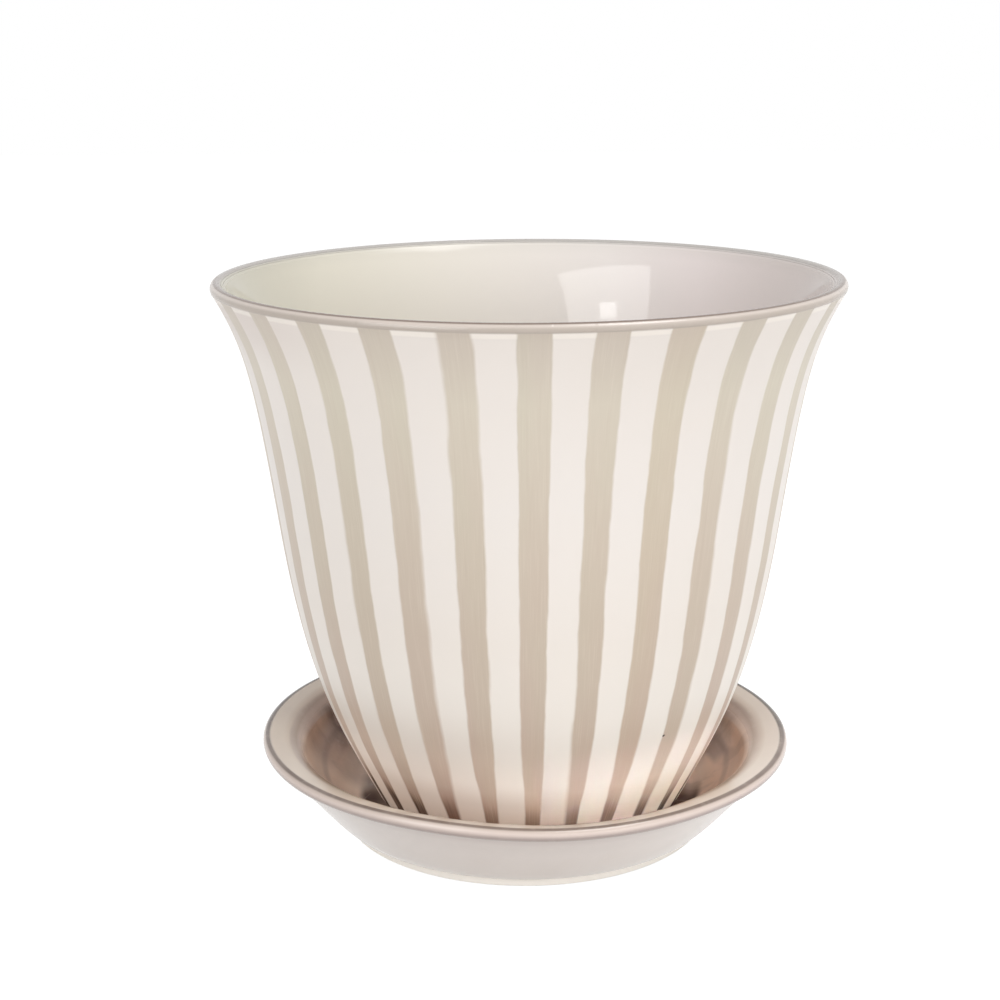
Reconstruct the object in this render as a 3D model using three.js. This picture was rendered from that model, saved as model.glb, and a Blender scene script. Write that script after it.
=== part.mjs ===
// A bell-shaped ceramic plant pot with a rolled lip, standing in its own glazed saucer.
// Millimetres, +Z up. The saucer's foot is on z = 0 and the pot's axis is the Z axis.

import * as THREE from 'three';

// Pot: lip and wall
const potRimRadius = 95;
const potHeight = 164.6;
const potLipRadius = 1.9;
const potWall = 4.2;
const lipJoin = 45;
const lipLean = 29;
const lipReach = 18.9;

// Pot: waist, where the belly turns into the flare, and lean of the wall from upright
const waistRadius = 76.9;
const waistHeight = 88.7;
const waistLean = 8;
const waistReachDown = 49.7;
const waistReachUp = 46.4;

// Pot: foot, floor and drain hole
const potFootRadius = 45.6;
const potFootRound = 4;
const potFootLean = 27;
const potFootReach = 25;
const potFootWidth = 6;
const potRecess = 3;
const potFloor = 6;
const potInnerRound = 8;
const drainRadius = 6.5;

// Saucer: lip and outer body
const saucerRimRadius = 83;
const saucerHeight = 29.5;
const saucerLipRadius = 1.95;
const neckAngle = -98;
const neckLean = 43;
const neckReach = 13.5;
const bodyLean = 38.5;
const bodyReach = 6.5;

// Saucer: foot and floor
const saucerFootRadius = 57.5;
const saucerFootHeight = 3.6;
const saucerFootWidth = 6;
const saucerFootEdge = 0.6;
const footStep = 2.6;
const saucerFloor = 4.6;

// Saucer: well, with its flare inside the lip, its shoulder and its knee
const saucerWall = 4.6;
const flareLean = 14;
const flareLength = 10;
const kneeShare = 0.62;
const wellRound = 2.5;

// Where the well's curves stop, as shares of the way from shoulder to knee and from knee to floor
const flareEnd = 0.4;
const slopeEnd = 0.75;

// Fit of the pot in the saucer, where it stands a little to the right of the middle
const wellClearance = 9;
const seatGap = 0.3;
const potOffset = 1.5;

// Roundness of the turned solids and of the curves in their sections
const facetsAround = 80;
const curveSteps = 8;
const lipSteps = 3;
const roundSteps = 4;

const point = (r, z) => new THREE.Vector2(r, z);
const radians = THREE.MathUtils.degToRad;

// Unit direction in a section, leaning outward from upright by an angle in degrees
function leaning(degrees) {
  return point(Math.sin(radians(degrees)), Math.cos(radians(degrees)));
}

// Point at a distance from another along a direction
function along(start, direction, distance) {
  return start.clone().addScaledVector(direction, distance);
}

// Point on a circle in a section, angle in degrees anticlockwise from outward
function onCircle(centre, radius, degrees) {
  const angle = radians(degrees);
  return point(centre.x + radius * Math.cos(angle), centre.y + radius * Math.sin(angle));
}

// Points of an arc in a section, angles as for onCircle
function arc(centre, radius, from, to, steps) {
  const points = [];
  for (let i = 0; i <= steps; i += 1) {
    points.push(onCircle(centre, radius, from + ((to - from) * i) / steps));
  }
  return points;
}

// Points round a lip, through its widest point and its crest
function lip(centre, radius, from, to) {
  return [
    ...arc(centre, radius, from, 0, lipSteps),
    ...arc(centre, radius, 0, 90, lipSteps).slice(1),
    ...arc(centre, radius, 90, to, lipSteps).slice(1),
  ];
}

// Point of a curve moved inward by a wall thickness, square to the curve
function insideOf(curve, t, thickness) {
  const tangent = curve.getTangent(t);
  return along(curve.getPoint(t), point(-tangent.y, tangent.x), thickness);
}

// Solid of revolution about Z from a section that runs up outside and down inside
function turned(name, section, material) {
  const geometry = new THREE.LatheGeometry(section, facetsAround);
  geometry.rotateX(Math.PI / 2);
  const mesh = new THREE.Mesh(geometry, material);
  mesh.name = name;
  return mesh;
}

// The pot's wall outside: a belly from the foot to the waist and a flare from there to the lip
function potOutside(lipCentre) {
  const footCentre = point(potFootRadius, potFootRound);
  const foot = arc(footCentre, potFootRound, -90, -potFootLean, roundSteps);
  const wallStart = foot[foot.length - 1];
  const waist = point(waistRadius, waistHeight);
  const lipStart = onCircle(lipCentre, potLipRadius, -lipJoin);
  const belly = new THREE.CubicBezierCurve(
    wallStart,
    along(wallStart, leaning(potFootLean), potFootReach),
    along(waist, leaning(waistLean), -waistReachDown),
    waist,
  );
  const flare = new THREE.CubicBezierCurve(
    waist,
    along(waist, leaning(waistLean), waistReachUp),
    along(lipStart, leaning(lipLean), -lipReach),
    lipStart,
  );
  return { foot, belly, flare };
}

// The pot's wall inside, an even thickness in from the outside, and its rounded floor
function potInside(belly, flare) {
  const floorTop = potRecess + potFloor;
  const wall = [];
  for (const curve of [flare, belly]) {
    for (let i = 0; i < curveSteps; i += 1) {
      wall.push(insideOf(curve, 1 - i / curveSteps, potWall));
    }
  }
  const straight = wall.filter((p) => p.y > floorTop + potInnerRound);
  const last = straight[straight.length - 1];
  const corner = new THREE.QuadraticBezierCurve(
    last,
    point(last.x - Math.tan(radians(potFootLean)) * (last.y - floorTop), floorTop),
    point(last.x - (last.y - floorTop), floorTop),
  );
  return [...straight, ...corner.getPoints(roundSteps).slice(1), point(drainRadius, floorTop)];
}

function pot() {
  const lipCentre = point(potRimRadius - potLipRadius, potHeight - potLipRadius);
  const { foot, belly, flare } = potOutside(lipCentre);
  const footInside = potFootRadius - potFootWidth;
  const section = [
    point(drainRadius, potRecess),
    point(footInside, potRecess),
    point(footInside, 0),
    ...foot,
    ...belly.getPoints(curveSteps).slice(1),
    ...flare.getPoints(curveSteps).slice(1),
    ...lip(lipCentre, potLipRadius, -lipJoin, 180 - lipLean).slice(1),
    ...potInside(belly, flare),
  ];
  section.push(section[0].clone());
  const glaze = new THREE.MeshStandardMaterial({ color: 0xe4dcd2, roughness: 0.3, metalness: 0 });
  return turned('pot', section, glaze);
}

// The saucer's body outside, from the step above its foot to the neck under its lip
function saucerOutside(lipCentre) {
  const bodyStart = point(saucerFootRadius + footStep, saucerFootHeight);
  const neck = onCircle(lipCentre, saucerLipRadius, neckAngle);
  return new THREE.CubicBezierCurve(
    bodyStart,
    along(bodyStart, leaning(90 - bodyLean), bodyReach),
    along(neck, leaning(90 - neckLean), -neckReach),
    neck,
  );
}

// The saucer's well: flare, shoulder, wall, knee, lower slope and the floor the pot stands on
function saucerInside(lipCentre, body) {
  const floorTop = saucerFootHeight + saucerFloor;
  const floorEdge = point(potFootRadius + wellClearance, floorTop);
  const flareTop = onCircle(lipCentre, saucerLipRadius, 90 + flareLean);
  const shoulder = along(flareTop, leaning(90 - flareLean), -flareLength);
  const knee = insideOf(body, kneeShare, saucerWall);
  const flare = new THREE.QuadraticBezierCurve(
    flareTop,
    shoulder,
    shoulder.clone().lerp(knee, flareEnd),
  );
  const slope = new THREE.QuadraticBezierCurve(
    knee.clone().lerp(floorEdge, slopeEnd),
    floorEdge,
    point(floorEdge.x - wellRound, floorTop),
  );
  return [
    ...flare.getPoints(roundSteps).slice(1),
    knee,
    ...slope.getPoints(roundSteps),
    point(0, floorTop),
  ];
}

function saucer() {
  const lipCentre = point(saucerRimRadius - saucerLipRadius, saucerHeight - saucerLipRadius);
  const body = saucerOutside(lipCentre);
  const footInside = saucerFootRadius - saucerFootWidth;
  const section = [
    point(0, saucerFootHeight),
    point(footInside, saucerFootHeight),
    point(footInside, 0),
    point(saucerFootRadius - saucerFootEdge, 0),
    point(saucerFootRadius, saucerFootEdge),
    point(saucerFootRadius, saucerFootHeight),
    ...body.getPoints(curveSteps),
    ...lip(lipCentre, saucerLipRadius, neckAngle, 90 + flareLean).slice(1),
    ...saucerInside(lipCentre, body),
  ];
  const glaze = new THREE.MeshStandardMaterial({ color: 0xc8b9ac, roughness: 0.2, metalness: 0 });
  return turned('saucer', section, glaze);
}

const plantPot = new THREE.Group();
const saucerMesh = saucer();
saucerMesh.position.x = -potOffset;
const potMesh = pot();
potMesh.position.z = saucerFootHeight + saucerFloor + seatGap;
plantPot.add(saucerMesh, potMesh);

export default plantPot;
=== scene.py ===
import math

import bmesh
import bpy
from mathutils import Matrix, Vector


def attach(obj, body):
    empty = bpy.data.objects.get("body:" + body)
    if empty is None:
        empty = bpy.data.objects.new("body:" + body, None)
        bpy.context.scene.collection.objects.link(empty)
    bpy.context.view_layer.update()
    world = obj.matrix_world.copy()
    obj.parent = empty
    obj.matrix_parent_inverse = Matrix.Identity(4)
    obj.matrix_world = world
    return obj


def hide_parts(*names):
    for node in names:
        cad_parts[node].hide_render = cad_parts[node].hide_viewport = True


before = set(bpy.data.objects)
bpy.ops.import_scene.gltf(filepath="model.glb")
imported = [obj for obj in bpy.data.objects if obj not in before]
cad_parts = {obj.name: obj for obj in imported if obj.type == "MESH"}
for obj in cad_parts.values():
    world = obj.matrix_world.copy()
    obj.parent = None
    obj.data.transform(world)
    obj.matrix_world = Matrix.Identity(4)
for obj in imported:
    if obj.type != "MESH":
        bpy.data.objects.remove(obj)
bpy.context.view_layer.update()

MM = 0.001

# Sizes of the pot's section, in millimetres above its own foot
POT_RIM = 95.0
POT_HEIGHT = 164.6
POT_LIP = 1.9
POT_WALL = 4.2
LIP_JOIN = 45.0
LIP_LEAN = 29.0
LIP_REACH = 18.9
WAIST = (76.9, 88.7)
WAIST_LEAN = 8.0
WAIST_DOWN = 49.7
WAIST_UP = 46.4
POT_FOOT = 45.6
POT_FOOT_ROUND = 4.0
POT_FOOT_LEAN = 27.0
POT_FOOT_REACH = 25.0
POT_FOOT_WIDTH = 6.0
POT_RECESS = 3.0
POT_FLOOR = 6.0
POT_INNER_ROUND = 8.0
DRAIN = 6.5

# Sizes of the saucer's section
SAUCER_RIM = 83.0
SAUCER_HEIGHT = 29.5
SAUCER_LIP = 1.95
NECK_ANGLE = -98.0
NECK_LEAN = 43.0
NECK_REACH = 13.5
BODY_LEAN = 38.5
BODY_REACH = 6.5
SAUCER_FOOT = 57.5
SAUCER_FOOT_HEIGHT = 3.6
SAUCER_FOOT_WIDTH = 6.0
SAUCER_FOOT_EDGE = 0.6
FOOT_STEP = 2.6
SAUCER_FLOOR = 4.6
SAUCER_WALL = 4.6
FLARE_LEAN = 14.0
FLARE_LENGTH = 10.0
KNEE_SHARE = 0.62
WELL_ROUND = 2.5
WELL_CLEARANCE = 9.0

# Where the well's curves stop, as shares of the way from one corner to the next
FLARE_END = 0.4
SLOPE_END = 0.75
BEND_ABOVE = 0.75
BEND_BELOW = 0.45

# How the two stand together, and how the saucer's rim leans and waves, in millimetres and degrees
SEAT_GAP = 0.3
SEAT = SAUCER_FOOT_HEIGHT + SAUCER_FLOOR + SEAT_GAP
SAUCER_LEFT = 1.5
SAUCER_TILT = 0.43
WAVE_DEPTH = 0.55
WAVE_SHIFT = 5.0
WAVE_FADE = 3.0
WAVES = 4

# Fineness of the turned meshes
TURNS = 240
CURVE_STEPS = 26
LIP_STEPS = 12
EDGE_ROUND = 0.45
EDGE_SEGMENTS = 3
SHARP_FROM = 38


# Sections: points of radius and height, drawn up the outside and down the inside


def leaning(degrees):
    """Unit direction that leans outward from upright."""
    angle = math.radians(degrees)
    return Vector((math.sin(angle), math.cos(angle)))


def on_circle(centre, radius, degrees):
    """Point on a circle, its angle anticlockwise from outward."""
    angle = math.radians(degrees)
    return centre + radius * Vector((math.cos(angle), math.sin(angle)))


def arc(centre, radius, start, end, steps):
    """Points on a circle from one angle to another."""
    return [on_circle(centre, radius, start + (end - start) * i / steps) for i in range(steps + 1)]


def bezier(*controls):
    """Bezier curve of any degree, as a function of its parameter."""
    degree = len(controls) - 1

    def at(t):
        weights = [math.comb(degree, i) * t**i * (1 - t) ** (degree - i) for i in range(degree + 1)]
        return sum((w * c for w, c in zip(weights, controls)), Vector((0.0, 0.0)))

    return at


def trace(curve, steps):
    """Points along a curve."""
    return [curve(i / steps) for i in range(steps + 1)]


def inside_of(curve, t, thickness):
    """Point of a wall's inside, square to its outside."""
    step = 1e-4
    along = (curve(min(t + step, 1)) - curve(max(t - step, 0))).normalized()
    return curve(t) + thickness * Vector((-along.y, along.x))


def lip_points(centre, radius, start, end):
    """Points round a lip after its start, by way of its widest point and its crest."""
    points = arc(centre, radius, start, 0, LIP_STEPS)[1:]
    points += arc(centre, radius, 0, 90, LIP_STEPS)[1:]
    points += arc(centre, radius, 90, end, LIP_STEPS)[1:]
    return points


def crest_after(section):
    """Number that the crest gets when a lip follows these points."""
    return len(section) + 2 * LIP_STEPS - 1


def pot_section():
    """The pot's closed section, seated in the saucer, and the number of its crest."""
    lip = Vector((POT_RIM - POT_LIP, POT_HEIGHT - POT_LIP))
    foot = arc(Vector((POT_FOOT, POT_FOOT_ROUND)), POT_FOOT_ROUND, -90, -POT_FOOT_LEAN, LIP_STEPS)
    waist = Vector(WAIST)
    lip_start = on_circle(lip, POT_LIP, -LIP_JOIN)
    belly = bezier(
        foot[-1],
        foot[-1] + POT_FOOT_REACH * leaning(POT_FOOT_LEAN),
        waist - WAIST_DOWN * leaning(WAIST_LEAN),
        waist,
    )
    flare = bezier(
        waist,
        waist + WAIST_UP * leaning(WAIST_LEAN),
        lip_start - LIP_REACH * leaning(LIP_LEAN),
        lip_start,
    )
    floor_top = POT_RECESS + POT_FLOOR
    wall = [inside_of(c, 1 - i / CURVE_STEPS, POT_WALL) for c in (flare, belly) for i in range(CURVE_STEPS)]
    wall = [p for p in wall if p.y > floor_top + POT_INNER_ROUND]
    last = wall[-1]
    drop = last.y - floor_top
    corner = bezier(
        last,
        Vector((last.x - math.tan(math.radians(POT_FOOT_LEAN)) * drop, floor_top)),
        Vector((last.x - drop, floor_top)),
    )
    foot_inside = POT_FOOT - POT_FOOT_WIDTH
    section = [Vector((DRAIN, POT_RECESS)), Vector((foot_inside, POT_RECESS)), Vector((foot_inside, 0))]
    section += foot + trace(belly, CURVE_STEPS)[1:] + trace(flare, CURVE_STEPS)[1:]
    crest = crest_after(section)
    section += lip_points(lip, POT_LIP, -LIP_JOIN, 180 - LIP_LEAN)
    section += wall + trace(corner, LIP_STEPS)[1:] + [Vector((DRAIN, floor_top))]
    return [p + Vector((0, SEAT)) for p in section], crest


def saucer_section():
    """The saucer's section, from the axis underneath to the axis on its floor, and its crest's number."""
    lip = Vector((SAUCER_RIM - SAUCER_LIP, SAUCER_HEIGHT - SAUCER_LIP))
    start = Vector((SAUCER_FOOT + FOOT_STEP, SAUCER_FOOT_HEIGHT))
    neck = on_circle(lip, SAUCER_LIP, NECK_ANGLE)
    body = bezier(
        start,
        start + BODY_REACH * leaning(90 - BODY_LEAN),
        neck - NECK_REACH * leaning(90 - NECK_LEAN),
        neck,
    )
    floor_top = SAUCER_FOOT_HEIGHT + SAUCER_FLOOR
    floor_edge = Vector((POT_FOOT + WELL_CLEARANCE, floor_top))
    flare_top = on_circle(lip, SAUCER_LIP, 90 + FLARE_LEAN)
    shoulder = flare_top - FLARE_LENGTH * leaning(90 - FLARE_LEAN)
    knee = inside_of(body, KNEE_SHARE, SAUCER_WALL)
    flare_end = shoulder.lerp(knee, FLARE_END)
    slope_start = knee.lerp(floor_edge, SLOPE_END)
    # The knee itself is softened by a short curve either side of it
    bend = bezier(knee.lerp(flare_end, BEND_ABOVE), knee, knee.lerp(slope_start, BEND_BELOW))
    slope = bezier(slope_start, floor_edge, floor_edge - Vector((WELL_ROUND, 0)))
    foot_inside = SAUCER_FOOT - SAUCER_FOOT_WIDTH
    section = [
        Vector((0, SAUCER_FOOT_HEIGHT)),
        Vector((foot_inside, SAUCER_FOOT_HEIGHT)),
        Vector((foot_inside, 0)),
        Vector((SAUCER_FOOT - SAUCER_FOOT_EDGE, 0)),
        Vector((SAUCER_FOOT, SAUCER_FOOT_EDGE)),
        Vector((SAUCER_FOOT, SAUCER_FOOT_HEIGHT)),
    ]
    section += trace(body, CURVE_STEPS)
    crest = crest_after(section)
    section += lip_points(lip, SAUCER_LIP, NECK_ANGLE, 90 + FLARE_LEAN)
    section += trace(bezier(flare_top, shoulder, flare_end), CURVE_STEPS)[1:]
    section += trace(bend, LIP_STEPS) + trace(slope, LIP_STEPS) + [Vector((0, floor_top))]
    return section, crest


# Turned pieces


def rim_wave(x, y):
    """How far the saucer's rim stands off level, in millimetres: it waves a little along the front."""
    turn = math.atan2(x, -y)
    front = max(0.0, math.cos(turn)) ** WAVE_FADE
    return -WAVE_DEPTH * front * math.sin(WAVES * (turn + math.radians(WAVE_SHIFT)))


def lay_section(maker, section, crest, closed):
    """A section as edges to spin. Each point keeps its way along it from the crest, in millimetres."""
    way = maker.verts.layers.float.new("way")
    gone = [0.0]
    for a, b in zip(section, section[1:]):
        gone.append(gone[-1] + (b - a).length)
    verts = []
    for p, travel in zip(section, gone):
        vert = maker.verts.new((p.x * MM, 0, p.y * MM))
        vert[way] = travel - gone[crest]
        verts.append(vert)
    pairs = list(zip(verts, verts[1:]))
    if closed:
        pairs.append((verts[-1], verts[0]))
    return verts + [maker.edges.new(pair) for pair in pairs]


def set_down(maker, shift, tilt, wave):
    """Move a turned mesh to its place, with a rim that leans and waves over a foot that stays level."""
    slant = math.tan(math.radians(tilt))
    for vert in maker.verts:
        share = vert.co.z / (SAUCER_HEIGHT * MM)
        rise = -slant * vert.co.x
        if wave:
            rise += wave(vert.co.x, vert.co.y) * MM
        vert.co.z += rise * share
        vert.co.x += shift * MM


def linked(name, mesh):
    """A new object of a mesh, in the scene."""
    piece = bpy.data.objects.new(name, mesh)
    bpy.context.collection.objects.link(piece)
    return piece


def turned(name, section, crest, closed, shift=0.0, tilt=0.0, wave=None):
    """Spin a section into a solid with softened edges."""
    maker = bmesh.new()
    bmesh.ops.spin(
        maker,
        geom=lay_section(maker, section, crest, closed),
        cent=(0, 0, 0),
        axis=(0, 0, 1),
        angle=2 * math.pi,
        steps=TURNS,
        use_merge=True,
    )
    bmesh.ops.remove_doubles(maker, verts=maker.verts, dist=1e-7)
    bmesh.ops.recalc_face_normals(maker, faces=maker.faces)
    inner = [e for e in maker.edges if len(e.link_faces) == 2]
    bmesh.ops.bevel(
        maker,
        geom=[e for e in inner if e.calc_face_angle() > math.radians(SHARP_FROM)],
        offset=EDGE_ROUND * MM,
        affect="EDGES",
        segments=EDGE_SEGMENTS,
        profile=0.5,
        material=-1,
    )
    set_down(maker, shift, tilt, wave)
    for face in maker.faces:
        face.smooth = True
    mesh = bpy.data.meshes.new(name)
    maker.to_mesh(mesh)
    maker.free()
    return linked(name, mesh)


# Shader recipes

# A colour mix's sockets share names, so they are taken by number
MIX_UNDER = 6
MIX_OVER = 7
MIX_COLOUR = 2


class Wire:
    """A value on its way through a material's nodes."""

    def __init__(self, recipe, socket):
        self.recipe = recipe
        self.socket = socket

    def maths(self, operation, *values, clamp=False):
        settings = {"operation": operation, "use_clamp": clamp}
        return self.recipe.node("ShaderNodeMath", settings, dict(enumerate(values)))

    def __add__(self, other):
        return self.maths("ADD", self, other)

    def __radd__(self, other):
        return self.maths("ADD", other, self)

    def __sub__(self, other):
        return self.maths("SUBTRACT", self, other)

    def __rsub__(self, other):
        return self.maths("SUBTRACT", other, self)

    def __mul__(self, other):
        return self.maths("MULTIPLY", self, other)

    def __truediv__(self, other):
        return self.maths("DIVIDE", self, other)

    def __abs__(self):
        return self.maths("ABSOLUTE", self)

    def root(self):
        return self.maths("SQRT", self)

    def floor(self):
        return self.maths("FLOOR", self)

    def least(self, other):
        return self.maths("MINIMUM", self, other)

    def most(self, other):
        return self.maths("MAXIMUM", self, other)

    def held(self):
        """Held between 0 and 1."""
        return self.maths("ADD", self, 0.0, clamp=True)

    def rise(self, start, end):
        """0 before start, 1 after end, with a soft way between."""
        return self.recipe.node(
            "ShaderNodeMapRange",
            {"interpolation_type": "SMOOTHSTEP"},
            {"Value": self, "From Min": start, "From Max": end},
        )

    def fall(self, start, end):
        """1 before start, 0 after end, with a soft way between."""
        return 1 - self.rise(start, end)

    def band(self, start, end, soft):
        """1 between start and end, softly 0 outside."""
        return self.rise(start - soft, start + soft) * self.fall(end - soft, end + soft)


def set_stops(ramp, stops):
    """Give a colour ramp its stops, each a place from 0 to 1 and a colour."""
    while len(ramp.elements) < len(stops):
        ramp.elements.new(1.0)
    for element, (place, colour) in zip(ramp.elements, stops):
        element.position = place
        element.color = colour


class Recipe:
    """The nodes of a material or of the world."""

    def __init__(self, owner):
        owner.use_nodes = True
        self.tree = owner.node_tree
        self.tree.nodes.clear()

    def node(self, kind, settings=None, inputs=None, output=0):
        """A node: its type, its settings first, then its sockets. Gives one of its outputs."""
        made = self.tree.nodes.new(kind)
        for key, value in (settings or {}).items():
            if key == "stops":
                set_stops(made.color_ramp, value)
            else:
                setattr(made, key, value)
        for key, value in (inputs or {}).items():
            if isinstance(value, Wire):
                self.tree.links.new(value.socket, made.inputs[key])
            else:
                made.inputs[key].default_value = value
        return Wire(self, made.outputs[output]) if made.outputs else None

    def place(self, shift=0.0):
        """Object coordinates x, y, z, with x from an axis that may stand to the left."""
        spot = self.node("ShaderNodeTexCoord", output="Object")
        x, y, z = (self.node("ShaderNodeSeparateXYZ", None, {"Vector": spot}, axis) for axis in "XYZ")
        return x + shift, y, z

    def vector(self, x, y, z):
        return self.node("ShaderNodeCombineXYZ", None, {"X": x, "Y": y, "Z": z})

    def way(self):
        """Millimetres along the section from the crest: below 0 outside, above 0 inside."""
        return self.node("ShaderNodeAttribute", {"attribute_name": "way"}, output="Fac")

    def noise(self, spot, scale, detail=2.0, twist=0.0):
        inputs = {"Vector": spot, "Scale": scale, "Detail": detail, "Distortion": twist}
        return self.node("ShaderNodeTexNoise", None, inputs)

    def cracks(self, spot, scale):
        """Distance from the nearest line of a net of cracks."""
        settings = {"feature": "DISTANCE_TO_EDGE"}
        return self.node("ShaderNodeTexVoronoi", settings, {"Vector": spot, "Scale": scale})

    def chance(self, number):
        """A fixed random value from 0 to 1 for each whole number."""
        return self.node("ShaderNodeTexWhiteNoise", {"noise_dimensions": "1D"}, {"W": number})

    def ramp(self, value, stops, low=0.0, high=1.0):
        """Colours along a value that runs from low to high, at places given in the value's own units."""
        spots = [((place - low) / (high - low), colour) for place, colour in stops]
        return self.node("ShaderNodeValToRGB", {"stops": spots}, {0: (value - low) / (high - low)})

    def shades(self, value, low, high, steps):
        """The same from everyday colours."""
        return self.ramp(value, [(place, paint(colour)) for place, colour in steps], low, high)

    def mix(self, factor, under, over):
        """One colour over another, as much as the factor says."""
        inputs = {0: factor, MIX_UNDER: under, MIX_OVER: over}
        return self.node("ShaderNodeMix", {"data_type": "RGBA"}, inputs, MIX_COLOUR)

    def tinge(self, factor, under, colour):
        """The same with an everyday colour on top."""
        return self.mix(factor, under, paint(colour))

    def bump(self, height, distance):
        return self.node("ShaderNodeBump", None, {"Height": height, "Distance": distance, "Strength": 1.0})

    def glaze(self, colour, gloss, relief):
        """The surface of glazed ceramic, with its relief from 0 to 1 as high as a brushed coat."""
        normal = self.bump(relief, COAT_HEIGHT)
        inputs = {"Base Color": colour, "Roughness": gloss, "Normal": normal, "IOR": GLAZE_IOR}
        surface = self.node("ShaderNodeBsdfPrincipled", None, inputs)
        self.node("ShaderNodeOutputMaterial", None, {"Surface": surface})


COAT_HEIGHT = 0.0002
GLAZE_IOR = 1.5


def paint(colour):
    """A colour given in everyday 0 to 255 steps, as a shader takes it."""
    linear = []
    for step in colour:
        part = step / 255
        linear.append(part / 12.92 if part <= 0.04045 else ((part + 0.055) / 1.055) ** 2.4)
    return (*linear, 1.0)


# The pot's glaze

# Brushed strokes round the pot: where the front ones stand, in degrees to the right of the front
STROKES = 28
FRONT_STROKES = (-64.0, -50.9, -38.2, -25.0, -11.8, 1.1, 13.3, 26.0, 39.0, 52.6, 65.5)
COUNT_SCALE = 32

# Width of a stroke in degrees, and how it differs from stroke to stroke, along a stroke and at the foot
STROKE_WIDTH = 5.7
STROKE_SPREAD = 0.03
STROKE_WANDER = 0.06
STROKE_SWELL = 0.09
STROKE_TAPER = 0.76
STROKE_RAGGED = 1.3
STROKE_SOFT = 0.42
STROKE_SOFTER = 0.5
WARM_STROKE = 17.0

# A dark speck in the pot's glaze: turn to the right of the front, height, and radius
SPECK_TURN = math.radians(36.7)
SPECK_HEIGHT = 0.0455
SPECK_SIZE = 0.0004

# Where the strokes darken at the foot, and where the bare foot ends: heights in metres between which they
# fade out
DARK_FOOT_HEIGHTS = (0.0185, 0.0265)
DARK_FOOT_DROP_RIGHT = 0.0035
POT_CLAY_TOP = (0.0088, 0.0098)

# Heights between which the pot's colours are given, and the colours by height in metres. Just above the foot
# both are painted lighter, as painted light where the saucer shades the pot
POT_HEIGHTS = (0.0, 0.18)
GROUND = (
    (0.018, (232, 220, 206)),
    (0.023, (241, 235, 224)),
    (0.027, (242, 238, 229)),
    (0.032, (242, 239, 232)),
    (0.050, (235, 229, 221)),
    (0.080, (231, 223, 215)),
    (0.120, (231, 224, 218)),
    (0.170, (230, 222, 215)),
)
WASH = (
    (0.018, (136, 106, 90)),
    (0.0205, (152, 124, 108)),
    (0.024, (178, 152, 136)),
    (0.030, (202, 184, 170)),
    (0.050, (192, 173, 158)),
    (0.085, (195, 179, 163)),
    (0.110, (200, 186, 170)),
    (0.150, (208, 198, 182)),
    (0.170, (200, 188, 175)),
)

# The lip's band by millimetres from its crest, and the inside by its place from left to right, with painted
# shade and painted green and pink reflections towards its ends
BAND_START = (-3.95, -3.35)
POT_BAND_WAYS = (-5.0, 5.0)
POT_BAND = (
    (-4.0, (174, 162, 152)),
    (-2.4, (182, 171, 161)),
    (-1.7, (206, 194, 185)),
    (-1.25, (198, 186, 177)),
    (-0.9, (124, 106, 95)),
)
POT_INSIDE_PLACES = (-1.0, 1.0)
POT_INSIDE_WITH_SHADE = (
    (-1.0, (200, 196, 178)),
    (-0.72, (220, 215, 200)),
    (-0.2, (225, 219, 210)),
    (0.3, (228, 221, 217)),
    (0.6, (226, 216, 214)),
    (1.0, (202, 191, 187)),
)

# Other colours of the pot
CREAM_CLOUD = (236, 224, 212)
LOW_LEFT_GROUND_SHADE = (196, 182, 171)
FOOT_LEFT_GROUND_SHADE = (140, 122, 111)
TOP_LEFT_GROUND_SHADE = (198, 182, 174)
GREEN_WASH = (196, 198, 172)
WARM_WASH = (196, 168, 134)
DEEP_STREAK = (182, 164, 146)
PALE_STREAK = (232, 222, 208)
LOW_LEFT_WASH_SHADE = (84, 58, 46)
DARK_FOOT_WASH = (30, 8, 3)
PALE_UNDER_LIP = (248, 240, 230)
BACK_OF_CREST_SHADE = (182, 177, 172)
INSIDE_BY_CREST_SHADE = (188, 184, 176)
SPECK = (30, 20, 14)
POT_CLAY = (226, 210, 190)


def stroke_count_stops():
    """Strokes counted off round the pot from the back, by turn from 0 to 1, and the degrees between two."""
    pitch = 360 / STROKES
    first = FRONT_STROKES[0]
    last = FRONT_STROKES[-1]
    behind = STROKES - len(FRONT_STROKES)
    gap = (360 - (last - first)) / (behind + 1)
    places = list(FRONT_STROKES)
    places += [last + gap * (i + 1) for i in range(behind)]
    wrapped = sorted((p + 180) % 360 for p in places)
    start = wrapped[0] - (wrapped[0] + 360 - wrapped[-1])
    stops = [(0.0, -start / (wrapped[0] - start))]
    stops += [(p / 360, i + 1.0) for i, p in enumerate(wrapped)]
    stops.append((1.0, STROKES + stops[0][1]))
    return [(place, (count / COUNT_SCALE,) * 3 + (1.0,)) for place, count in stops], pitch


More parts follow.
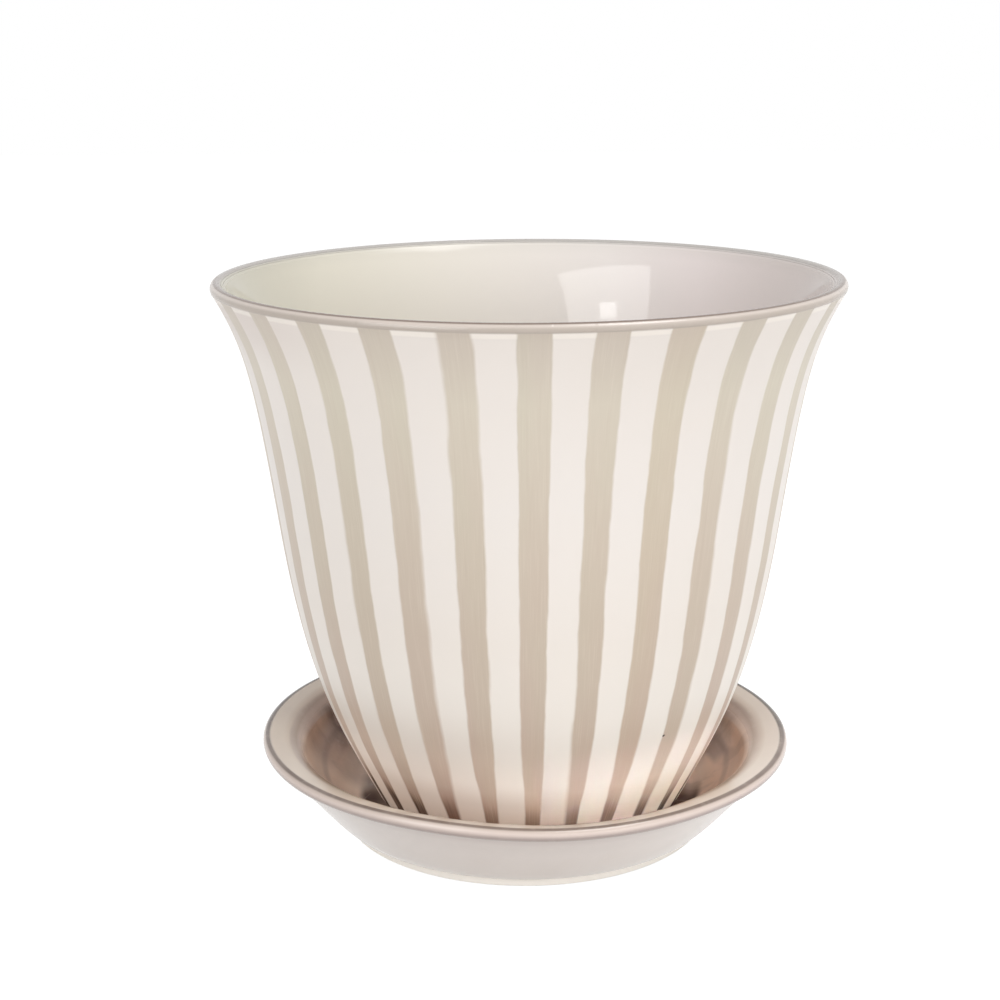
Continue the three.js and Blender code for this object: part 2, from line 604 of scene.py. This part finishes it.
def pot_glaze():
    """Off-white glaze with brushed taupe strokes, a taupe lip and a glossier inside."""
    material = bpy.data.materials.new("pot_glaze")
    r = Recipe(material)
    x, y, z = r.place()
    radius = (x * x + y * y).root()
    turn = x.maths("ARCTAN2", x, y * -1.0) / (2 * math.pi) + 0.5
    way = r.way()
    across = x / radius
    ahead = y / radius
    back = ahead.rise(-0.6, 0.5)
    # At the back the lip's dark top reaches further inside, as painted shade
    crest_way = way.least(0.0) + way.most(0.0) / (back * 1.7 + 1.0)
    inside = crest_way.rise(0.4, 1.2)

    def round_noise(fineness, climb, detail):
        """Noise that goes round the pot, as fine as given round it and up it."""
        return r.noise(r.vector(across * fineness, ahead * fineness, z * climb), 1.0, detail)

    # Where the strokes are: each point is so far off the middle of the nearest one, in strokes' pitches
    stops, pitch = stroke_count_stops()
    count = r.ramp(turn, stops) * COUNT_SCALE
    count = count + (round_noise(3.0, 9.0, 1.0) - 0.5) * STROKE_WANDER
    number = (count + 0.5).floor()
    off = abs(count - number)
    half = 0.5 * STROKE_WIDTH / pitch + (r.chance(number) - 0.5) * STROKE_SPREAD
    swell = round_noise(11.0, 34.0, 2.0) - 0.5
    half = (half + swell * STROKE_SWELL) * (STROKE_TAPER + z.rise(0.016, 0.05) * (1 - STROKE_TAPER))
    pitch_in_mm = radius * math.radians(pitch) / MM
    ragged = round_noise(20.0, 75.0, 3.0) - 0.5
    soft = STROKE_SOFT + round_noise(9.0, 6.0, 1.0).rise(0.52, 0.7) * STROKE_SOFTER
    edge = ((off - half) * pitch_in_mm + ragged * STROKE_RAGGED) / soft
    stroke = edge.fall(-1.0, 1.0) * (1 - inside)

    streaks = round_noise(95.0, 45.0, 3.0)
    fine = round_noise(240.0, 70.0, 2.0)
    cloud = r.noise(r.vector(x, y, z), 45.0, 2.0)
    tint = round_noise(4.0, 14.0, 2.0)

    # The ground, a little darker with painted shade at the left low down, at the foot, and at the left under
    # the lip
    ground = r.shades(z, *POT_HEIGHTS, GROUND)
    ground = r.tinge((cloud - 0.5).held() * 0.4, ground, CREAM_CLOUD)
    low_left_shade = z.fall(0.028, 0.07) * across.fall(-0.5, 0.3)
    foot_left_shade = z.fall(0.024, 0.034) * across.fall(-0.1, 0.35)
    top_left_shade = z.rise(0.15, 0.168) * across.fall(-0.9, -0.5)
    ground = r.tinge(low_left_shade * 0.5, ground, LOW_LEFT_GROUND_SHADE)
    ground = r.tinge(foot_left_shade * 0.34, ground, FOOT_LEFT_GROUND_SHADE)
    ground = r.tinge(top_left_shade * 0.4, ground, TOP_LEFT_GROUND_SHADE)

    # The strokes' wash, streaked by the brush, with painted shade low at the left, and dark at the foot,
    # most of all at the sides
    wash = r.shades(z, *POT_HEIGHTS, WASH)
    warm = abs(number - WARM_STROKE).fall(0.2, 0.8) * tint.rise(0.3, 0.5)
    wash = r.tinge(tint.rise(0.4, 0.62) * 0.12, wash, GREEN_WASH)
    wash = r.tinge(warm * 0.13, wash, WARM_WASH)
    wash = r.tinge((streaks - 0.5).held() * 0.55, wash, DEEP_STREAK)
    wash = r.tinge((fine - 0.52).held() * 0.6, wash, PALE_STREAK)
    drop = across.rise(0.45, 0.7) * DARK_FOOT_DROP_RIGHT
    dark_foot_height = z + drop + (tint - 0.5) * 0.012 + (fine - 0.5) * 0.006
    dark_foot = dark_foot_height.fall(*DARK_FOOT_HEIGHTS) * (0.3 + abs(across).rise(0.3, 0.75) * 0.7)
    dark_foot = (dark_foot * (0.75 + (streaks - 0.5) * 1.2)).held()
    # Painted shade on the strokes low at the left
    wash = r.tinge(z.fall(0.026, 0.044) * across.fall(-0.4, 0.1) * 0.38, wash, LOW_LEFT_WASH_SHADE)
    wash = r.tinge(dark_foot * 0.96, wash, DARK_FOOT_WASH)
    colour = r.mix(stroke, ground, wash)

    # Lip: a taupe band with a painted highlight near the top, and a thin dark line along its crest
    under_lip = way.band(-5.4, -3.8, 0.4) * 0.6 * (1 - stroke)
    colour = r.tinge(under_lip, colour, PALE_UNDER_LIP)
    lip = r.shades(way, *POT_BAND_WAYS, POT_BAND)
    # Painted shade: the lip's top is greyer at the back
    lip = r.tinge(back * way.rise(-0.5, 0.1), lip, BACK_OF_CREST_SHADE)
    band = way.rise(*BAND_START)
    colour = r.mix(band, colour, lip)
    # The inside, with painted shade and painted reflections towards its left and right ends
    inner = r.shades(x / (POT_RIM * MM), *POT_INSIDE_PLACES, POT_INSIDE_WITH_SHADE)
    # Painted shade just inside the crest, dimming a lamp's reflection there
    inner = r.tinge(inside * way.fall(2.0, 8.0) * 0.2, inner, INSIDE_BY_CREST_SHADE)
    colour = r.mix(inside, colour, inner)

    # A speck
    beside = (across - math.sin(SPECK_TURN)) * radius
    above = z - SPECK_HEIGHT
    near = (beside * beside + above * above).root() / SPECK_SIZE
    colour = r.tinge(near.fall(0.5, 1.3) * ahead.fall(-0.3, 0.0), colour, SPECK)

    # Foot: bare fired clay where it stands and underneath
    bare = z.fall(*POT_CLAY_TOP) * (1 - inside)
    colour = r.tinge(bare, colour, POT_CLAY)

    near_crest = inside * way.fall(3.0, 7.0)
    gloss = 0.4 - band * 0.2 - inside * 0.14 + bare * 0.4 + near_crest * 0.22 + dark_foot * stroke * 0.55
    relief = stroke * 0.35 + band * 0.5 + (streaks - 0.5) * stroke * 0.15 + (cloud - 0.5) * 0.15
    r.glaze(colour, gloss, relief)
    return material


# The saucer's glaze

# The saucer's colours by millimetres from its crest: the outside below 0, the flare and the well above.
# Painted shade darkens the outside towards the lip and the shoulder where the flare turns down, painted
# light lifts the well's steep wall and the floor by the pot, and the floor under the pot is painted dark as
# its shadow
SAUCER_WAYS = (-45.0, 45.0)
SAUCER_SHADES = (
    (-40.0, (222, 213, 205)),
    (-20.0, (214, 204, 197)),
    (-12.0, (205, 194, 187)),
    (-9.0, (194, 181, 174)),
    (-7.4, (184, 170, 163)),
    (1.0, (224, 210, 197)),
    (5.2, (224, 210, 196)),
    (7.5, (202, 182, 165)),
    (9.5, (176, 150, 131)),
    (12.5, (218, 188, 169)),
    (15.0, (242, 208, 188)),
    (18.5, (218, 186, 168)),
    (21.0, (196, 164, 146)),
    (25.0, (210, 172, 150)),
    (29.0, (234, 198, 174)),
    (33.0, (250, 224, 204)),
    (37.0, (242, 210, 188)),
    (40.0, (84, 52, 38)),
)
# The rolled lip's outside, with a painted highlight over its top and painted shade beneath it
SAUCER_BEAD_WAYS = (-8.0, 0.0)
SAUCER_BEAD = (
    (-7.6, (184, 170, 163)),
    (-6.4, (158, 143, 136)),
    (-4.2, (156, 141, 134)),
    (-3.7, (170, 154, 148)),
    (-3.2, (190, 174, 167)),
    (-2.8, (208, 192, 184)),
    (-2.3, (216, 200, 191)),
    (-1.5, (202, 186, 176)),
)

# Where the well and its hidden floor begin, in millimetres from the crest, and how high the bare foot goes
WELL_START = (8.5, 12.5)
WELL_FLOOR_START = (40.0, 48.0)
SAUCER_CLAY_TOP = (0.0033, 0.0037)

# Other colours of the saucer
FLARE_PAINTED_LIGHT = (255, 240, 220)
PALE_BLOTCH = (204, 178, 162)
RIGHT_OF_WELL_LIGHT = (250, 218, 194)
LEFT_FRONT_OF_WELL_LIGHT = (255, 238, 222)
BACK_SHOULDER_SHADE = (96, 60, 42)
LEFT_WELL_SHADE = (124, 90, 72)
BACK_OF_WELL_SHADOW = (78, 44, 30)
RIGHT_SHADOW_SPOT = (84, 48, 32)
DARK_BLOTCH = (120, 88, 70)
FOOT_SHADOW = (64, 32, 18)
SCRATCH = (226, 206, 192)
CREST_LINE = (100, 81, 71)
BACK_CREST_SHADE = (66, 56, 50)
POOL_LINE = (92, 60, 44)
GREY_CLOUD = (190, 172, 158)
PALE_GRAIN = (238, 226, 214)
SAUCER_CLAY_AND_LIGHT = (255, 249, 241)


def saucer_glaze():
    """Glossy taupe glaze, pale on the flare and dark brown in the well, partly pooled glaze and partly
    painted light, shade and shadow.
    """
    material = bpy.data.materials.new("saucer_glaze")
    r = Recipe(material)
    x, y, z = r.place(SAUCER_LEFT * MM)
    radius = (x * x + y * y).root()
    way = r.way()
    across = x / radius
    ahead = y / radius
    drift = r.noise(r.vector(across * 2.0, ahead * 2.0, z * 40.0), 1.0, 2.0) - 0.5
    run = way + drift * 1.6 + ahead.rise(-0.5, 0.5) * 1.6
    shade = r.shades(run, *SAUCER_WAYS, SAUCER_SHADES)

    # The rolled lip outside: a painted highlight over its top and painted shade where it meets the body
    bead = r.shades(way, *SAUCER_BEAD_WAYS, SAUCER_BEAD)
    shade = r.mix(way.rise(-8.0, -7.2) * way.fall(-0.6, -0.1), shade, bead)
    left_front = across.fall(-1.0, -0.3) * ahead.fall(-0.1, 0.2)
    # Painted light on the flare at the front left
    shade = r.tinge(way.band(0.3, 6.5, 0.6) * left_front * 0.4, shade, FLARE_PAINTED_LIGHT)

    # The well is blotched where the glaze ran together. Painted light lifts its right and front left,
    # painted shade darkens its back shoulder and far left, and painted shadow makes it darkest at the back
    # and at a spot at the back right. Its hidden floor is plain
    well = way.rise(*WELL_START)
    ring = well * way.fall(*WELL_FLOOR_START)
    blotch = r.noise(r.vector(x, y, z), 62.0, 3.0, 1.2)
    pale_blotch = r.noise(r.vector(x, y, z + 0.4), 48.0, 2.0, 0.8)
    left_well_shade = across.fall(-1.0, -0.965) * ahead.rise(-0.12, 0.1)
    right_shadow_spot = (way + drift * 2.0).band(20.5, 27.0, 1.2) * ahead.rise(0.02, 0.16) * across.rise(0.0, 0.5)
    back_of_well_shadow = ahead.rise(0.1, 0.4) * (0.65 + blotch.rise(0.4, 0.66) * 0.3)
    shade = r.tinge(ring * pale_blotch.rise(0.5, 0.68) * 0.3, shade, PALE_BLOTCH)
    # Painted light on the well's right and front left
    shade = r.tinge(ring * across.rise(0.5, 1.0) * 0.35, shade, RIGHT_OF_WELL_LIGHT)
    shade = r.tinge(ring * left_front * 0.5, shade, LEFT_FRONT_OF_WELL_LIGHT)
    # Painted shade at the back shoulder and the far left, and painted shadow at the back and at a spot by
    # the pot at the back right
    shade = r.tinge(way.band(6.5, 12.5, 1.0) * ahead.rise(0.0, 0.3) * 0.35, shade, BACK_SHOULDER_SHADE)
    shade = r.tinge(ring * left_well_shade * 0.42, shade, LEFT_WELL_SHADE)
    shade = r.tinge(ring * back_of_well_shadow, shade, BACK_OF_WELL_SHADOW)
    shade = r.tinge(right_shadow_spot * 0.5, shade, RIGHT_SHADOW_SPOT)
    shade = r.tinge(ring * blotch.rise(0.52, 0.7) * 0.25, shade, DARK_BLOTCH)

    # A painted shadow round the pot's foot, at the front and the sides, and fine scratches
    foot_shadow = (way + across * 1.8 + drift * 2.0).rise(33.5, 36.5) * ring
    foot_shadow = foot_shadow * (ahead + drift * 0.3).fall(-0.22, 0.1)
    scratches = r.cracks(r.vector(x, y, z * 0.6), 150.0).fall(0.0, 0.035)
    worn = r.noise(r.vector(x, y, z), 90.0, 2.0).rise(0.5, 0.62)
    shade = r.tinge(foot_shadow * (0.7 + blotch * 0.4).held(), shade, FOOT_SHADOW)
    shade = r.tinge(ring * scratches * worn * 0.25, shade, SCRATCH)

    # Thin dark lines: at the crest of the lip, made wider at the back and the right and darker at the back
    # as painted shade, and at the knee of the well
    wander = drift * 0.5
    back = ahead.rise(-0.3, 0.3)
    wide = back * 0.3 + across.rise(0.3, 1.0) * 0.15
    crest_line = (way + wander).band(-1.2 - wide, 0.1 + wide, 0.35)
    crest_line = crest_line * (0.6 + blotch * 0.4 + back * 0.15).held()
    pool_line = (way + drift * 3.0 + ahead * 8.0).band(21.4, 23.8, 0.9)
    shade = r.tinge(crest_line, shade, CREST_LINE)
    shade = r.tinge(crest_line * back * 0.6, shade, BACK_CREST_SHADE)
    shade = r.tinge(pool_line * 0.3, shade, POOL_LINE)

    grain = r.noise(r.vector(x, y, z), 420.0, 3.0)
    cloud = r.noise(r.vector(x, y, z), 60.0, 2.0)
    shade = r.tinge((1 - well) * (cloud - 0.5).held() * 0.35, shade, GREY_CLOUD)
    shade = r.tinge((grain - 0.55).held() * 0.35, shade, PALE_GRAIN)

    # Bare pale clay on the foot ring, painted near white, partly as painted light from the floor beneath
    bare = z.fall(*SAUCER_CLAY_TOP)
    shade = r.tinge(bare, shade, SAUCER_CLAY_AND_LIGHT)
    gloss = 0.2 + well * 0.14 + foot_shadow * 0.3 + bare * 0.5 + (cloud - 0.5) * 0.06

    # A groove under the rolled lip
    groove = (way + wander).band(-6.8, -4.0, 0.5)
    relief = (cloud - 0.5) * 0.4 + (grain - 0.5) * 0.05 - groove * 0.3
    r.glaze(shade, gloss, relief)
    return material


# Camera, where the photograph was taken from

LENS = 68.29
SENSOR = 36.0
CAMERA_BACK = -570.2
CAMERA_UP = 248.8
CAMERA_PITCH = math.radians(14.347)
CAMERA_YAW = math.radians(-0.898)
CAMERA_ROLL = math.radians(-0.362)


def camera():
    data = bpy.data.cameras.new("camera")
    data.lens = LENS
    data.sensor_width = SENSOR
    data.clip_start = 0.01
    eye = linked("camera", data)
    turn = Matrix.Rotation(-CAMERA_YAW, 4, "Z") @ Matrix.Rotation(math.pi / 2 - CAMERA_PITCH, 4, "X")
    turn = turn @ Matrix.Rotation(CAMERA_ROLL, 4, "Z")
    eye.matrix_world = Matrix.Translation((0, CAMERA_BACK * MM, CAMERA_UP * MM)) @ turn
    bpy.context.scene.camera = eye


# Studio: world, floor and lamps

AMBIENT = 0.39
WHITE = (1, 1, 1, 1)
FLOOR_SIZE = 3.0
FLOOR_DROP = 0.0002
FLOOR_PAPER = 0.8
FLOOR_SHADOW = 0.22
FLOOR_GLOW = 0.94
LAMP_AIM = 0.09
BEAM_DISTANCE = 0.6
BEAM_WIDE = 0.24
BEAM_TALL = 0.03
BEAM_HEIGHT = 0.021
BEAM_SPREAD = 3.0


def seen(r):
    """1 for rays that look at the surroundings: from the camera, a gloss or a clear thing."""
    kinds = ("Is Camera Ray", "Is Glossy Ray", "Is Transmission Ray")
    camera_ray, gloss_ray, clear_ray = (r.node("ShaderNodeLightPath", output=kind) for kind in kinds)
    return (camera_ray + gloss_ray + clear_ray).held()


def grey(level):
    return (level, level, level, 1)


def backdrop():
    """A world that looks white and lights the scene more gently than that."""
    world = bpy.data.worlds.new("studio")
    bpy.context.scene.world = world
    r = Recipe(world)
    strength = seen(r) * (1.0 - AMBIENT) + AMBIENT
    sky = r.node("ShaderNodeBackground", None, {"Color": WHITE, "Strength": strength})
    r.node("ShaderNodeOutputWorld", None, {"Surface": sky})


def studio_floor():
    """Pale paper that looks white where nothing shades it and keeps the shadow."""
    maker = bmesh.new()
    bmesh.ops.create_grid(maker, x_segments=1, y_segments=1, size=FLOOR_SIZE)
    mesh = bpy.data.meshes.new("floor")
    maker.to_mesh(mesh)
    maker.free()
    floor = linked("floor", mesh)
    floor.location.z = -FLOOR_DROP
    material = bpy.data.materials.new("floor_paper")
    r = Recipe(material)
    paper = r.node("ShaderNodeBsdfDiffuse", None, {"Color": grey(FLOOR_PAPER)})
    shown = r.node("ShaderNodeBsdfDiffuse", None, {"Color": grey(FLOOR_SHADOW)})
    glow = r.node("ShaderNodeEmission", None, {"Color": WHITE, "Strength": FLOOR_GLOW})
    white = r.node("ShaderNodeAddShader", None, {0: shown, 1: glow})
    surface = r.node("ShaderNodeMixShader", None, {0: seen(r), 1: paper, 2: white})
    r.node("ShaderNodeOutputMaterial", None, {"Surface": surface})
    mesh.materials.append(material)


def soft_box(name, azimuth, elevation, distance, wide, tall, radiance, mirrored=True):
    """Area lamp aimed at the pot's middle, azimuth to the right of the front. Glosses mirror it or not."""
    data = bpy.data.lights.new(name, "AREA")
    data.shape = "RECTANGLE"
    data.size = wide
    data.size_y = tall
    data.energy = radiance * math.pi * wide * tall
    lamp = linked(name, data)
    lamp.visible_glossy = mirrored
    a, e = math.radians(azimuth), math.radians(elevation)
    outward = Vector((math.sin(a) * math.cos(e), -math.cos(a) * math.cos(e), math.sin(e)))
    lamp.location = Vector((0, 0, LAMP_AIM)) + outward * distance
    lamp.rotation_euler = outward.to_track_quat("Z", "Y").to_euler()
    return lamp


def foot_beam(name, azimuth, radiance, lit, rising=0.0):
    """Narrow low beam on the foot of one piece, as a reflector laid before it gives. The rest lets it by."""
    lamp = soft_box(name, azimuth, -rising, BEAM_DISTANCE, BEAM_WIDE, BEAM_TALL, radiance, mirrored=False)
    lamp.data.spread = math.radians(BEAM_SPREAD)
    lamp.location.z += BEAM_HEIGHT - LAMP_AIM + POT_FOOT * MM * math.tan(math.radians(rising))
    only = bpy.data.collections.new(name)
    only.objects.link(lit)
    lamp.light_linking.receiver_collection = only
    lamp.light_linking.blocker_collection = only


camera()
backdrop()
studio_floor()
soft_box("left_box", azimuth=-39, elevation=25, distance=1.3, wide=0.86, tall=0.96, radiance=2.75)
soft_box("left_box_bulb", azimuth=-39, elevation=25, distance=1.25, wide=0.16, tall=0.14, radiance=4.6)
soft_box("high_box", azimuth=64, elevation=66, distance=1.2, wide=0.5, tall=0.5, radiance=7.0)
soft_box(
    "right_box",
    azimuth=54,
    elevation=10,
    distance=1.4,
    wide=1.0,
    tall=0.8,
    radiance=3.3,
    mirrored=False,
)

bpy.context.scene.view_settings.view_transform = "Standard"

# The two pieces, each in place of its plain solid

section, crest = pot_section()
pot = turned("glazed_pot", section, crest, closed=True)
pot.data.materials.append(pot_glaze())
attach(pot, "pot_body")
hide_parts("pot")
foot_beam("foot_beam_right", azimuth=50, radiance=0.6, lit=pot)
foot_beam("foot_beam_left", azimuth=-85, radiance=0.55, lit=pot)
foot_beam("foot_beam_front", azimuth=18, radiance=0.04, lit=pot, rising=20)

section, crest = saucer_section()
saucer = turned(
    "glazed_saucer",
    section,
    crest,
    closed=False,
    shift=-SAUCER_LEFT,
    tilt=SAUCER_TILT,
    wave=rim_wave,
)
saucer.data.materials.append(saucer_glaze())
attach(saucer, "saucer_body")
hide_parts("saucer")
